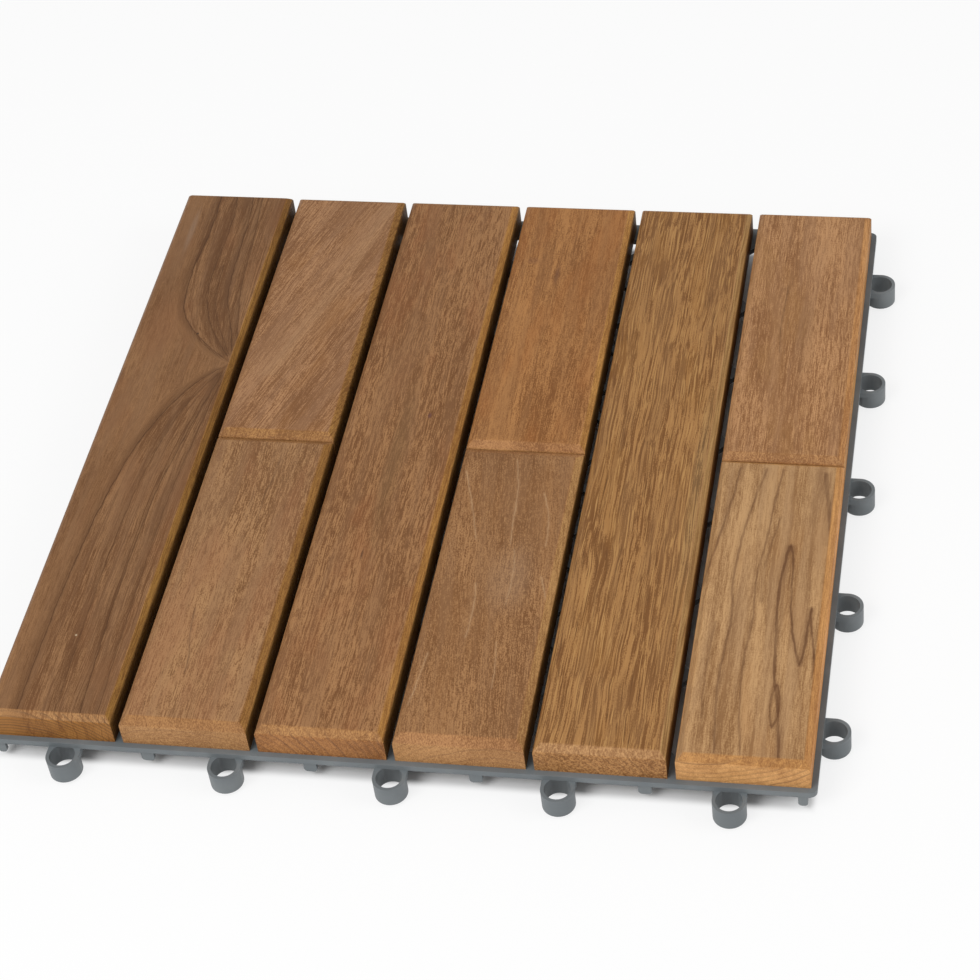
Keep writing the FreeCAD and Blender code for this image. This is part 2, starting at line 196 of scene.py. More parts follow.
def vein(tree, x, y, course, width, tail):
    """How dark a vein makes each point. course lists places along the slat with one across.

    A tail, in millimetres, is the soft shade that builds up to a growth line from its left.
    """
    first, last = course[0][0], course[-1][0]
    along = add(tree, "MapRange", {"Value": y, "From Min": first, "From Max": last}).outputs["Result"]
    curve = add(tree, "FloatCurve", {"Value": along})
    line = curve.mapping.curves[0]
    stops = [
        ((place - first) / (last - first), across / CURVE_WIDTH + 0.5)
        for place, across in course
    ]
    line.points[0].location = stops[0]
    line.points[1].location = stops[-1]
    for stop in stops[1:-1]:
        line.points.new(*stop)
    curve.mapping.update()
    middle = calc(tree, "MULTIPLY_ADD", curve.outputs[0], CURVE_WIDTH, -CURVE_WIDTH / 2)
    shift = calc(tree, "SUBTRACT", x, middle)
    off = calc(tree, "ABSOLUTE", shift)
    core = ramp(tree, off, width * 0.6, width * 0.15)
    halo = calc(tree, "MULTIPLY", ramp(tree, off, width * 1.8, 0.0), 0.4)
    if tail:
        build_up = calc(tree, "MULTIPLY", ramp(tree, shift, -tail, 0.0), ramp(tree, shift, 0.3, 0.0))
        halo = calc(tree, "MAXIMUM", halo, calc(tree, "MULTIPLY", build_up, 0.5))
    low, high = min(first, last), max(first, last)
    inside = calc(
        tree, "MULTIPLY", ramp(tree, y, low - 1, low + 1), ramp(tree, y, high + 1, high - 1),
    )
    return calc(tree, "MULTIPLY", calc(tree, "MAXIMUM", core, halo), inside)


def oval(tree, x, y, place, radii, edge=0.2):
    """1 inside a soft oval and 0 outside."""
    across = calc(tree, "DIVIDE", calc(tree, "SUBTRACT", x, place[0]), radii[0])
    along = calc(tree, "DIVIDE", calc(tree, "SUBTRACT", y, place[1]), radii[1])
    across = calc(tree, "MULTIPLY", across, across)
    along = calc(tree, "MULTIPLY", along, along)
    return ramp(tree, calc(tree, "SQRT", calc(tree, "ADD", across, along)), 1.0, edge)


def from_knot(tree, x, y, edge, middle, above, below):
    """Distance from the slat's edge, stretched so that lines of one value crowd at a knot."""
    beyond = calc(tree, "SUBTRACT", y, middle)
    upper = calc(tree, "DIVIDE", calc(tree, "MAXIMUM", beyond, 0.0), -above)
    lower = calc(tree, "DIVIDE", calc(tree, "MINIMUM", beyond, 0.0), below)
    room = calc(tree, "SUBTRACT", 1.06, calc(tree, "EXPONENT", calc(tree, "ADD", upper, lower)))
    return calc(tree, "DIVIDE", calc(tree, "MAXIMUM", calc(tree, "SUBTRACT", edge, x), 0.0), room)


print("vein helpers ready")

# %% [markdown]
# The material adds growth lines to the tone, then dark pores, pale flecks, veins and patches.
# Sawn faces get their own, more golden colour. On the ends the growth lines are arcs round
# the heart of the trunk, which lies to one side of the slat and below or above it.


# %% Oiled hardwood
DARK_SHARES = (0.66, 0.58, 0.50)
PALE_SHARES = (1.38, 1.47, 1.60)
PORE_SHARES = (0.42, 0.36, 0.32)
FLECK_SHARES = (1.55, 1.75, 1.95)
COOL_SHARES = (0.97, 1.03, 1.22)
# Painted shade: a darker brown laid on the upright sides of the slats, which stand in the dark gaps.
PAINTED_GAP_SHADE = "#6B4A20"
OILED_ROUGHNESS = 0.6


def growth_lines(tree, level, broken, start=0.45):
    """Late wood: each line darkens from start, ends sharply and has a strength of its own."""
    phase = calc(tree, "FRACT", level)
    count = calc(tree, "FLOOR", level)
    year = add(tree, "TexWhiteNoise", {"W": count}, noise_dimensions="1D").outputs["Value"]
    late = calc(tree, "MULTIPLY", ramp(tree, phase, start, 0.93), ramp(tree, phase, 1.0, 0.95))
    strength = calc(tree, "MULTIPLY_ADD", year, 0.7, 0.3)
    return calc(tree, "MULTIPLY", calc(tree, "MULTIPLY", late, strength), broken)


def toned(tree, hex_colour, tone):
    return mix(tree, tone, shaded(hex_colour, DARK_SHARES), shaded(hex_colour, PALE_SHARES))


def wood(name, middle, look):
    """Oiled teak-like hardwood. middle is the slat's centre on its upper face."""
    material, tree, surface = new_material(name)
    position = add(tree, "TexCoord").outputs["Object"]
    local = add(
        tree, "VectorMath",
        {0: position, 1: (1 / MM,) * 3, 2: tuple(-middle / MM)}, operation="MULTIPLY_ADD",
    ).outputs[0]
    turned = add(
        tree, "VectorRotate", {"Vector": local, "Angle": math.radians(look.get("slant", 0))},
        rotation_type="Z_AXIS",
    ).outputs[0]
    seeded = add(tree, "VectorMath", {0: turned, 1: look["seed"]}, operation="ADD").outputs[0]
    wander = stretched_noise(tree, seeded, 20, 60).outputs["Color"]
    wander = add(
        tree, "VectorMath", {0: wander, 1: (look["wander"],) * 3, 2: (-look["wander"] / 2,) * 3},
        operation="MULTIPLY_ADD",
    ).outputs[0]
    grain = add(tree, "VectorMath", {0: turned, 1: wander}, operation="ADD").outputs[0]
    x, y, z = add(tree, "SeparateXYZ", {0: grain}).outputs[:3]

    level = calc(tree, "DIVIDE", x, look["ring_width"])
    near = 1.0
    if "knot" in look:
        distance = from_knot(tree, x, y, *look["knot"])
        level = calc(tree, "DIVIDE", calc(tree, "SQRT", distance), look["ring_width"])
        near = ramp(tree, distance, *look["knot_reach"])
        drawn_in = calc(tree, "MINIMUM", calc(tree, "SUBTRACT", distance, 30), 12.0)
        x = calc(tree, "SUBTRACT", x, drawn_in)
    follow = add(tree, "CombineXYZ", {0: x, 1: y, 2: z}).outputs[0]
    place = add(tree, "VectorMath", {0: follow, 1: look["seed"]}, operation="ADD").outputs[0]

    speck, fine, streak, band, blotch = look["grain"]
    tone = tone_of(tree, place, [
        (0.45, 0.7, speck, 0.2), (*look.get("fine_size", (0.4, 6)), fine, 0.17),
        (*look.get("streak_size", (1.0, 32)), streak, 0.2),
        (3.5, 110.0, band, 0.35), (22.0, 60.0, blotch, 0.35),
    ])
    calm = calc(tree, "MULTIPLY_ADD", near, 0.5, 0.5)
    tone = calc(tree, "MULTIPLY_ADD", calc(tree, "SUBTRACT", tone, 0.5), calm, 0.5)
    broken = ramp(tree, stretched_noise(tree, place, 2.0, 22).outputs["Fac"], 0.30, 0.60)
    whole = look.get("whole", 0.2)
    broken = calc(tree, "MULTIPLY_ADD", broken, 1.0 - whole, whole)
    uneven = stretched_noise(tree, place, 6, 80).outputs["Fac"]
    level = calc(tree, "ADD", level, calc(tree, "MULTIPLY", uneven, 1.2))
    years = growth_lines(tree, level, broken, 0.72)
    months = growth_lines(tree, calc(tree, "MULTIPLY", level, 3.3), broken, 0.6)
    lines = calc(tree, "MULTIPLY_ADD", months, 0.7, years)
    lines = calc(tree, "MULTIPLY", lines, near)
    tone = calc(tree, "SUBTRACT", tone, calc(tree, "MULTIPLY", lines, look["rings"]))
    colour = toned(tree, look["colour"], tone)

    tint = stretched_noise(tree, seeded, 17, 45).outputs["Fac"]
    warmer = calc(tree, "MULTIPLY", ramp(tree, tint, 0.48, 0.68), 0.4)
    colour = mix(tree, warmer, colour, linear(look["warm"]))
    cooler = ramp(tree, stretched_noise(tree, seeded, 6, 70).outputs["Fac"], 0.42, 0.66)
    cool = shaded(look["colour"], COOL_SHARES)
    colour = mix(tree, calc(tree, "MULTIPLY", cooler, 0.45), colour, cool)
    pores = stretched_noise(tree, place, *look.get("pore_size", (0.4, 4.0))).outputs["Fac"]
    pit = calc(tree, "MULTIPLY", ramp(tree, pores, 0.57, 0.70), look["pores"])
    colour = mix(tree, pit, colour, shaded(look["colour"], PORE_SHARES))
    shifted = add(tree, "VectorMath", {0: place, 1: (31, 17, 5)}, operation="ADD").outputs[0]
    flecks = stretched_noise(tree, shifted, *look.get("fleck_size", (0.5, 5.0))).outputs["Fac"]
    glint = calc(tree, "MULTIPLY", ramp(tree, flecks, 0.55, 0.68), look["flecks"])
    colour = mix(tree, glint, colour, shaded(look["colour"], FLECK_SHARES))

    plain_x, plain_y = add(tree, "SeparateXYZ", {0: local}).outputs[:2]
    for place_at, radii, hex_colour, strength in look.get("patches", ()):
        share = calc(tree, "MULTIPLY", oval(tree, plain_x, plain_y, place_at, radii), strength)
        colour = mix(tree, share, colour, linear(hex_colour))
    wobble = stretched_noise(tree, seeded, 2, 7).outputs["Fac"]
    wobble = calc(tree, "MULTIPLY_ADD", wobble, 1.4, -0.7)
    wavy_x = calc(tree, "ADD", plain_x, wobble)
    for course, width, strength, hex_colour in look.get("veins", ()):
        share = vein(tree, wavy_x, plain_y, course, width, look.get("tail", 0))
        share = calc(tree, "MULTIPLY", share, calc(tree, "MULTIPLY_ADD", broken, 0.4, 0.6))
        colour = mix(tree, calc(tree, "MULTIPLY", share, strength), colour, linear(hex_colour))

    colour = sawn_faces(tree, colour, tone, grain, look)
    relief = calc(tree, "SUBTRACT", tone, calc(tree, "MULTIPLY", pit, 1.5))
    bump = add(tree, "Bump", {"Height": relief, "Strength": 0.3, "Distance": 0.1 * MM})
    tree.links.new(bump.outputs[0], surface.inputs["Normal"])
    tree.links.new(colour, surface.inputs["Base Color"])
    surface.inputs["Roughness"].default_value = OILED_ROUGHNESS
    surface.inputs["Specular IOR Level"].default_value = 0.25
    print(name, "nodes:", len(tree.nodes))
    return material


def sawn_faces(tree, colour, tone, grain, look):
    """Gives the chamfers, sides and ends their own colours, the upright sides a painted gap shade by
    default, and the ends their arcs.
    """
    facing = add(tree, "NewGeometry").outputs["True Normal"]
    right, ahead, upward = add(tree, "SeparateXYZ", {0: facing}).outputs[:3]
    planed = calc(tree, "MULTIPLY", ramp(tree, upward, 0.985, 0.90), ramp(tree, right, -0.5, -0.1))
    planed = calc(tree, "MULTIPLY", planed, 0.85)
    calm = min(0.7, 1.25 / sum(look["grain"][:3]))
    even = calc(tree, "MULTIPLY_ADD", tone, calm, 0.5 - calm / 2)
    colour = mix(tree, planed, colour, toned(tree, look["golden"], even))
    sideways = calc(tree, "MULTIPLY", ramp(tree, right, 0.3, 0.6), 0.85)
    colour = mix(tree, sideways, colour, toned(tree, look["side"], even))
    # Painted shade of the gaps: upright sides take a darker brown, unless a look gives its own flank
    # colour.
    flank = ramp(tree, calc(tree, "ABSOLUTE", right), 0.80, 0.95)
    colour = mix(tree, flank, colour, toned(tree, look.get("flank", PAINTED_GAP_SHADE), tone))
    half_tone = calc(tree, "MULTIPLY_ADD", tone, 0.5, 0.25)
    colour = mix(tree, ramp(tree, ahead, -0.80, -0.95), colour, toned(tree, look["sawn"], half_tone))
    side, depth, spacing, strength = look["end"]
    x, y, z = add(tree, "SeparateXYZ", {0: grain}).outputs[:3]
    across = calc(tree, "SUBTRACT", x, side)
    down = calc(tree, "ADD", z, depth)
    across = calc(tree, "MULTIPLY", across, across)
    down = calc(tree, "MULTIPLY", down, down)
    radius = calc(tree, "SQRT", calc(tree, "ADD", across, down))
    arcs = growth_lines(tree, calc(tree, "DIVIDE", radius, spacing), 1.0)
    at_end = calc(tree, "MULTIPLY", ramp(tree, calc(tree, "ABSOLUTE", ahead), 0.4, 0.9), strength)
    return mix(tree, calc(tree, "MULTIPLY", arcs, at_end), colour, linear(look["line"]))


# %% [markdown]
# The looks of the nine pieces of wood. The veins, knots and patches stand where they show
# in the photograph. The colours were matched to the mean tone of each face, chamfer and
# end there. grain holds the weights of specks, fibres, streaks, bands and blotches. chamfer
# holds its width on the sides and on the ends. end holds the place of the trunk's heart, the
# spacing of the arcs and their strength. Lengths are in millimetres from the slat's middle.

# %% Slat looks
DARK_VEIN = "#5E3A20"
BROWN_LINE = "#4E3018"
PALE_VEIN = "#BE9A74"

LOOKS = {
    "slat_1": dict(
        seed=(3, 10, 0), colour="#815B39", warm="#805433", line="#46301F", golden="#9E7142",
        side="#895F24", sawn="#90602C", chamfer=(2.0, 2.2), wander=3.0,
        grain=(0.6, 0.9, 0.3, 0.45, 1.1), ring_width=0.58, rings=1.2, whole=0.5, pores=0.2, flecks=0.1,
        knot=(23.3, 40, 18, 30), knot_reach=(32.0, 31.0), end=(-15, 45, 1.5, 0.8),
        patches=[
            # A scratch near the rear: a pale grey stripe, which is the scratch's soft highlight painted
            # in.
            ((-15, 122), (2.0, 20), "#9C8470", 0.30),
            ((4.1, 57), (0.7, 0.9), "#33211A", 0.9),
            ((0.1, -109), (0.6, 0.7), "#D8C0A0", 0.9), ((-23, 30), (4, 9), "#5E402A", 0.5),
            ((-12, 60), (12, 30), "#8A5C3A", 0.35),
        ],
        tail=4.5,
        veins=[
            ([(147, -7.8), (122, -6.8), (98, -8.0), (80, -7.0), (70, -5.0), (62, -0.5),
              (53, 7.0), (43, 18.5)],
             0.7, 0.9, BROWN_LINE),
            ([(147, -0.8), (128, 1.2), (96, 1.0), (84, 1.8), (72, 4.5), (62, 8.5), (52, 14.5),
              (44, 19.8)],
             0.7, 0.75, BROWN_LINE),
            ([(100, 4.4), (88, 5.2), (76, 7.0), (64, 10.8), (54, 15.8), (45, 20.2)],
             0.6, 0.65, BROWN_LINE),
            ([(147, 6.4), (130, 8.2), (96, 9.5), (80, 11.2), (68, 14.8), (58, 18.0), (47, 21.0)],
             0.7, 0.8, BROWN_LINE),
            ([(147, 10.6), (112, 13.6), (92, 14.8), (76, 17.0), (62, 19.8), (50, 21.8)],
             0.7, 0.7, BROWN_LINE),
            ([(37, 18.8), (28, 11.0), (15, 4.0), (3, -0.5), (-11, -4.5), (-28, -7.2),
              (-56, -10), (-147, -11.5)],
             0.7, 0.9, BROWN_LINE),
            ([(34, 19.2), (20, 12.0), (6, 7.6), (-10, 4.8), (-30, 2.6), (-56, 1.4), (-80, 1.2),
              (-147, 2.6)],
             0.6, 0.65, BROWN_LINE),
            ([(35, 20.4), (22, 18.0), (8, 15.6), (-8, 13.6), (-28, 11.0), (-56, 9.9),
              (-88, 9.8), (-147, 12.0)],
             0.7, 0.8, BROWN_LINE),
            ([(33, 21.4), (12, 19.4), (-12, 17.6), (-46, 16.2), (-90, 16.8), (-147, 18.4)],
             0.6, 0.6, BROWN_LINE),
        ],
    ),
    "slat_2_front": dict(
        seed=(40, 0, 7), colour="#916943", warm="#946443", line="#5A3E2C", golden="#946638",
        side="#8C602A", sawn="#9F7347", chamfer=(2.8, 3.4), wander=5.0,
        grain=(0.9, 1.05, 0.45, 0.45, 0.9), ring_width=5.0, rings=0.2, pores=0.5, flecks=0.2,
        end=(-4, 60, 2.2, 0.25),
        veins=[
            ([(-18, -8.5), (-30, -7.5), (-40, -5.5), (-50, -4.5)], 0.7, 0.5, "#5A3E2A"),
            ([(62, 5.5), (50, 4.5), (38, 3.5), (26, 4.5)], 0.6, 0.35, "#5A3E2A"),
        ],
    ),
    "slat_2_rear": dict(
        seed=(80, 30, 2), colour="#956B47", warm="#9C6B3C", line="#5A3E2A", golden="#9B6D3A",
        side="#90652F", sawn="#A77849", chamfer=(2.4, 3.0), wander=3.0,
        grain=(0.8, 0.85, 0.3, 0.4, 0.9), ring_width=2.6, rings=0.9, pores=0.3, flecks=0.25,
        pore_size=(0.4, 12.0), fleck_size=(0.4, 10.0), slant=17, end=(30, 40, 2.0, 0.3),
        veins=[([(70, 19), (40, 12), (0, 1), (-40, -11)], 8.0, 0.35, "#A8825E")],
    ),
    "slat_3": dict(
        seed=(120, 5, 9), colour="#8C623C", warm="#8E5934", line="#55372A", golden="#A07140",
        side="#9E6D31", sawn="#99673A", chamfer=(2.4, 2.9), wander=3.5,
        grain=(0.8, 1.2, 0.65, 0.5, 0.9), ring_width=4.0, rings=0.15, pores=0.35, flecks=0.35,
        end=(-40, 30, 2.6, 0.5),
        patches=[
            ((0.5, -10), (5.0, 62), "#6C5030", 0.34), ((9.5, 15), (1.1, 2.2), "#5E3A38", 0.75),
            ((-2, -61), (0.5, 4), "#4A3022", 0.7),
        ],
    ),
    "slat_4_front": dict(
        seed=(160, 22, 4), colour="#8F653E", warm="#8C6038", line="#5E402C", golden="#9E6E42",
        side="#A77C49", sawn="#A6784A", chamfer=(3.0, 3.8), wander=4.0,
        grain=(1.0, 0.9, 0.3, 0.35, 0.9), ring_width=6.0, rings=0.15, pores=0.3, flecks=0.5,
        fleck_size=(0.5, 2.2), slant=-6, end=(6, 50, 2.4, 0.3),
        patches=[((6, 5), (12, 24), "#9A8068", 0.22), ((22, -27), (2.2, 3.0), "#5A4030", 0.6)],
        veins=[
            ([(60, -20.4), (47, -16.5), (33, -12.6), (24, -10.3)], 0.6, 0.5, PALE_VEIN),
            ([(67, -1.7), (49, 1.4), (31, 2.2), (22, 3.2)], 0.6, 0.45, PALE_VEIN),
            ([(50, 11.5), (35, 15.4), (22, 16.2)], 0.6, 0.45, PALE_VEIN),
            ([(20, 5.0), (6, 6.5), (-8, 6.2)], 0.6, 0.42, PALE_VEIN),
            ([(2, -6.4), (-12, -5.3), (-25, -5.6)], 0.6, 0.5, PALE_VEIN),
            ([(7, 17), (-2, 20), (-9, 22.4)], 0.6, 0.45, PALE_VEIN),
            ([(-33, -18), (-46, -19), (-58, -20.4)], 0.6, 0.45, PALE_VEIN),
            ([(-26, 6), (-36, 7.2), (-48, 8.0)], 0.6, 0.38, PALE_VEIN),
        ],
    ),
    "slat_4_rear": dict(
        seed=(200, 11, 1), colour="#956538", warm="#9A6030", line="#5E3E28", golden="#9F6F42",
        side="#AC7A3C", sawn="#AB7B4B", chamfer=(2.4, 2.8), wander=4.0,
        grain=(0.75, 0.75, 0.42, 0.6, 1.0), ring_width=6.0, rings=0.12, pores=0.3, flecks=0.2,
        end=(-20, 60, 2.4, 0.3),
        patches=[((-3, 28), (1.5, 9), "#6E4A34", 0.5), ((-14, 36), (4, 3), "#7C5236", 0.4)],
    ),
    "slat_5": dict(
        seed=(240, 8, 6), colour="#906538", warm="#946632", line="#5E4024", golden="#A77B4E",
        side="#9F7947", sawn="#9B6D3F", chamfer=(2.4, 2.8), wander=4.5,
        grain=(0.8, 1.35, 1.8, 0.4, 0.5), ring_width=3.0, rings=0.2, pores=0.7, flecks=1.3,
        fine_size=(0.45, 18), streak_size=(0.85, 42), pore_size=(0.5, 20.0), fleck_size=(0.55, 28.0),
        end=(-60, 60, 2.4, 0.45),
        patches=[((19, -20), (3.5, 90), "#8C8460", 0.15)],
    ),
    "slat_6_front": dict(
        seed=(280, 16, 3), colour="#A57D52", warm="#A87A4C", line="#553A28", golden="#AB773E",
        side="#BD864C", sawn="#C28E56", flank="#C08448", chamfer=(2.4, 2.6), wander=3.0,
        grain=(0.4, 0.5, 0.4, 0.75, 0.7), ring_width=7.5,
        rings=0.1, pores=0.1, flecks=0.1,
        streak_size=(1.4, 60), end=(-15, -45, 2.4, 0.5),
        veins=[
            ([(69, -15), (52, -16.8), (24, -20.7), (8, -23.5)], 1.3, 0.6, DARK_VEIN),
            ([(69, -5.1), (52, -8.2), (28, -11.3), (10, -12.1), (-6, -10.6), (-34, -12.1), (-72, -10)],
             1.3, 0.6, DARK_VEIN),
            ([(69, 1.1), (52, -0.5), (31, -2.0), (10, -3.6), (-6, -3.1), (-34, -4.3), (-72, -1.0)],
             1.2, 0.55, DARK_VEIN),
            ([(29.5, 7.3), (20, 5.8), (5, 5.0), (-10, 5.8), (-34, 7.3), (-49, 9.6), (-72, 12.2)],
             1.6, 0.8, DARK_VEIN),
            ([(29.5, 7.3), (20, 8.9), (5, 9.6), (-10, 11.2), (-21, 13.5), (-29, 15.3)],
             1.3, 0.8, DARK_VEIN),
            ([(-29, 15.3), (-21, 16.6), (-10, 17.1), (-1, 17.4)], 1.3, 0.8, DARK_VEIN),
            ([(-1, 17.4), (-10, 18.2), (-21, 19.8), (-36, 22.0)], 1.3, 0.8, DARK_VEIN),
            ([(68, 17.0), (50, 19.5), (30, 21.8)], 2.4, 0.65, DARK_VEIN),
            ([(-38, 8.4), (-44, 7.3), (-52, 7.3), (-58, 8.6)], 1.1, 0.7, DARK_VEIN),
            ([(-38, 8.4), (-44, 9.8), (-52, 9.9), (-58, 8.6)], 1.1, 0.7, DARK_VEIN),
            ([(44, 2.6), (20, -1.0), (0, -0.6)], 1.3, 0.5, DARK_VEIN),
            ([(-10, -16.0), (-30, -17.0), (-56, -16.4)], 1.3, 0.45, DARK_VEIN),
        ],
    ),
    "slat_6_rear": dict(
        seed=(320, 2, 8), colour="#A2754C", warm="#A07446", line="#664630", golden="#A37547",
        side="#B6804A", sawn="#AB7B4B", flank="#B07C42", chamfer=(2.4, 2.6), wander=3.0,
        grain=(0.6, 0.75, 0.5, 0.5, 1.1), ring_width=5.0,
        rings=0.15, pores=0.45, flecks=0.25,
        pore_size=(0.45, 8.0), end=(-14, 50, 2.4, 0.3),
        veins=[([(26, -6.8), (14, -7.2), (0, -7.6), (-14, -6.6)], 0.6, 0.6, "#664428")],
        patches=[((3, -6), (6, 34), "#7C5A3C", 0.25)],
    ),
}
print("pieces of wood:", len(LOOKS))

# %% [markdown]
# A slat is a planed board with a chamfer round its upper face, sanded so that no edge is
# keen. A cube sized to the CAD solid, a one-step bevel for the chamfer and a fine bevel to
# soften it give just that. The chamfers look uneven in the photograph, so each slat has two
# widths of its own, for its sides and for its ends.
# The pilot holes of the screws stay in its underside.

# %% Slats
CHAMFER_DEPTH = 2.2 * MM
SANDING = 0.6 * MM
PILOT_RADIUS = 1.75 * MM
PILOT_DEPTH = 9.0 * MM


def select_edges(bm, wanted):
    return [edge for edge in bm.edges if all(wanted(vertex.co) for vertex in edge.verts)]


def drill_pilots(bm, low, high):
    """Opens a blind hole in the underside for every screw that enters this slat."""
    under = min(bm.faces, key=lambda face: face.calc_center_median().z)
    border = list(under.edges)
    bmesh.ops.delete(bm, geom=[under], context="FACES_ONLY")
    rims = []
    for x in SCREW_COLUMNS:
        for y in SCREW_ROWS:
            if low.x < x < high.x and low.y < y < high.y:
                made = bmesh.ops.create_circle(
                    bm, segments=16, radius=PILOT_RADIUS,
                    matrix=Matrix.Translation((x, y, low.z)),
                )
                rims.append({edge for vertex in made["verts"] for edge in vertex.link_edges})
    every_rim = [edge for rim in rims for edge in rim]
    bmesh.ops.triangle_fill(bm, use_beauty=True, edges=border + every_rim)
    for rim in rims:
        lifted = bmesh.ops.extrude_edge_only(bm, edges=list(rim))["geom"]
        raised = [item for item in lifted if isinstance(item, bmesh.types.BMVert)]
        bmesh.ops.translate(bm, verts=raised, vec=(0, 0, PILOT_DEPTH))
        bmesh.ops.contextual_create(bm, geom=raised)
    return len(rims)


def make_slat(node):
    low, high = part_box(node)
    size, middle = high - low, (high + low) / 2
    bm = bmesh.new()
    bmesh.ops.create_cube(bm, size=1, matrix=Matrix.Translation(middle) @ Matrix.Diagonal((*size, 1)))
    near = 0.01 * MM
    rim = select_edges(bm, lambda point: point.z > high.z - near)
    bmesh.ops.bevel(
        bm, geom=rim, offset=CHAMFER_DEPTH, segments=1, profile=0.5, affect="EDGES", material=-1,
    )
    face = [vertex for vertex in bm.verts if vertex.co.z > high.z - near]
    shrink = [
        (side / 2 - width * MM) / (side / 2 - CHAMFER_DEPTH)
        for side, width in zip(size.xy, LOOKS[node]["chamfer"])
    ]
    bmesh.ops.scale(bm, verts=face, vec=(*shrink, 1), space=Matrix.Translation(-middle))
    keen = select_edges(bm, lambda point: point.z > high.z - CHAMFER_DEPTH - near)
    bmesh.ops.bevel(
        bm, geom=keen, offset=SANDING, segments=3, profile=0.5, affect="EDGES", material=-1,
    )
    drilled = drill_pilots(bm, low, high)
    top = Vector((middle.x, middle.y, high.z))
    material = wood("oiled_" + node, top, LOOKS[node])
    print(node, "pilot holes:", drilled)
    return finish_piece(bm, node + "_board", material, [node])


for slat_node in LOOKS:
    make_slat(slat_node)

# %% [markdown]
# The grid is one injection moulding in matte grey plastic. Moulded edges are never keen, so
# a copy of the solid is merged, its flat faces are joined up again, and every sharp edge gets
# a narrow bevel that catches the light.


# %% Grey plastic
def grey_plastic():
    """Matte polypropylene with a faint moulded grain."""
    material, tree, surface = new_material("moulded_grey_plastic")
    position = add(tree, "TexCoord").outputs["Object"]
    clouds = add(tree, "TexNoise", {"Vector": position, "Scale": 60.0, "Detail": 3.0}).outputs["Fac"]
    grain = add(tree, "TexNoise", {"Vector": position, "Scale": 2600.0, "Detail": 2.0}).outputs["Fac"]
    colour = mix(tree, ramp(tree, clouds, 0.35, 0.7), linear("#676D70"), linear("#74797B"))
    bump = add(tree, "Bump", {"Height": grain, "Strength": 0.25, "Distance": 0.05 * MM})
    tree.links.new(bump.outputs[0], surface.inputs["Normal"])
    tree.links.new(colour, surface.inputs["Base Color"])
    surface.inputs["Roughness"].default_value = 0.48
    surface.inputs["Specular IOR Level"].default_value = 0.4
    return material


# %% Base grid
EDGE_SOFTNESS = 0.2 * MM


def make_base(material):
    bm = bmesh.new()
    bm.from_mesh(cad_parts["base_grid"].data)
    bmesh.ops.remove_doubles(bm, verts=bm.verts, dist=0.001 * MM)
    bmesh.ops.dissolve_limit(
        bm, angle_limit=math.radians(1), verts=bm.verts, edges=bm.edges, use_dissolve_boundaries=False,
    )
    sharp = [edge for edge in bm.edges if len(edge.link_faces) == 2 and edge.calc_face_angle() > 0.7]
    bmesh.ops.bevel(
        bm, geom=sharp, offset=EDGE_SOFTNESS, segments=1, profile=0.5, affect="EDGES",
        clamp_overlap=True, material=-1,
    )
    print("softened edges:", len(sharp))
    return finish_piece(bm, "moulded_grid", material, ["base_grid"])


make_base(grey_plastic())

# %% [markdown]
# The screws are stainless pan heads driven up through the boss floors. Each is turned as one
# profile. The cross recess comes from pulling in every other vertex of a ring on the head.

# %% Screws
HEAD_RADIUS = 3.3 * MM
SHANK_RADIUS = 1.7 * MM
SCREW_SIDES = 16
RECESS_RIM = 0.3 * MM
RECESS_DEPTH = 1.4 * MM
CROSS_WAIST = 0.35


def screw_steel():
    material, tree, surface = new_material("stainless_steel_screw")
    surface.inputs["Base Color"].default_value = linear("#B9BBBC")
    surface.inputs["Metallic"].default_value = 1.0
    surface.inputs["Roughness"].default_value = 0.32
    return material


def turn_screw(bm, x, y):
    """One screw, from the recess in its head to its point."""
    top = screw_high.z - 0.05 * MM
    profile = [
        (HEAD_RADIUS * 0.62, screw_low.z), (HEAD_RADIUS * 0.86, screw_low.z + 0.35 * MM),
        (HEAD_RADIUS, screw_low.z + 1.2 * MM), (HEAD_RADIUS, PLATE_BOTTOM), (SHANK_RADIUS, PLATE_BOTTOM),
        (SHANK_RADIUS, top - 2.4 * MM), (0.25 * MM, top),
    ]
    verts = [bm.verts.new((x + radius, y, z)) for radius, z in profile]
    edges = [bm.edges.new(pair) for pair in zip(verts, verts[1:])]
    bmesh.ops.spin(
        bm, geom=verts + edges, cent=(x, y, 0), axis=(0, 0, 1), angle=2 * math.pi,
        steps=SCREW_SIDES, use_merge=True,
    )


def cut_recess(bm, x, y):
    """Closes the head with a face and sinks a cross into it."""
    axis = Vector((x, y))
    ring = [
        vertex for vertex in bm.verts
        if abs(vertex.co.z - screw_low.z) < 0.01 * MM
        and (vertex.co.xy - axis).length < HEAD_RADIUS
    ]
    face = bmesh.ops.contextual_create(bm, geom=ring)["faces"][0]
    bmesh.ops.inset_region(bm, faces=[face], thickness=RECESS_RIM)
    for corner in face.verts:
        across = corner.co.xy - axis
        turn = math.atan2(across.y, across.x) / (math.pi / 2)
        off_axis = abs(turn - round(turn))
        if off_axis > 0.3:
            corner.co.xy = axis + across * CROSS_WAIST
    sunk = bmesh.ops.extrude_discrete_faces(bm, faces=[face])["faces"][0]
    bmesh.ops.translate(bm, verts=sunk.verts, vec=(0, 0, RECESS_DEPTH))
    centre = Matrix.Translation((-x, -y, 0))
    bmesh.ops.scale(bm, verts=sunk.verts, vec=(0.55, 0.55, 1), space=centre)


def make_screws(material):
    bm = bmesh.new()
    for x in SCREW_COLUMNS:
        for y in SCREW_ROWS:
            turn_screw(bm, x, y)
            cut_recess(bm, x, y)
    bmesh.ops.remove_doubles(bm, verts=bm.verts, dist=0.001 * MM)
    bmesh.ops.holes_fill(bm, edges=bm.edges, sides=SCREW_SIDES)
    return finish_piece(bm, "steel_screws", material, ["slat_screws"])


make_screws(screw_steel())

# %% [markdown]
# The photograph has a plain white ground. The floor is a pale sheet that still takes the
# tile's soft shadow, and the world is white where the camera or a reflection looks at it.


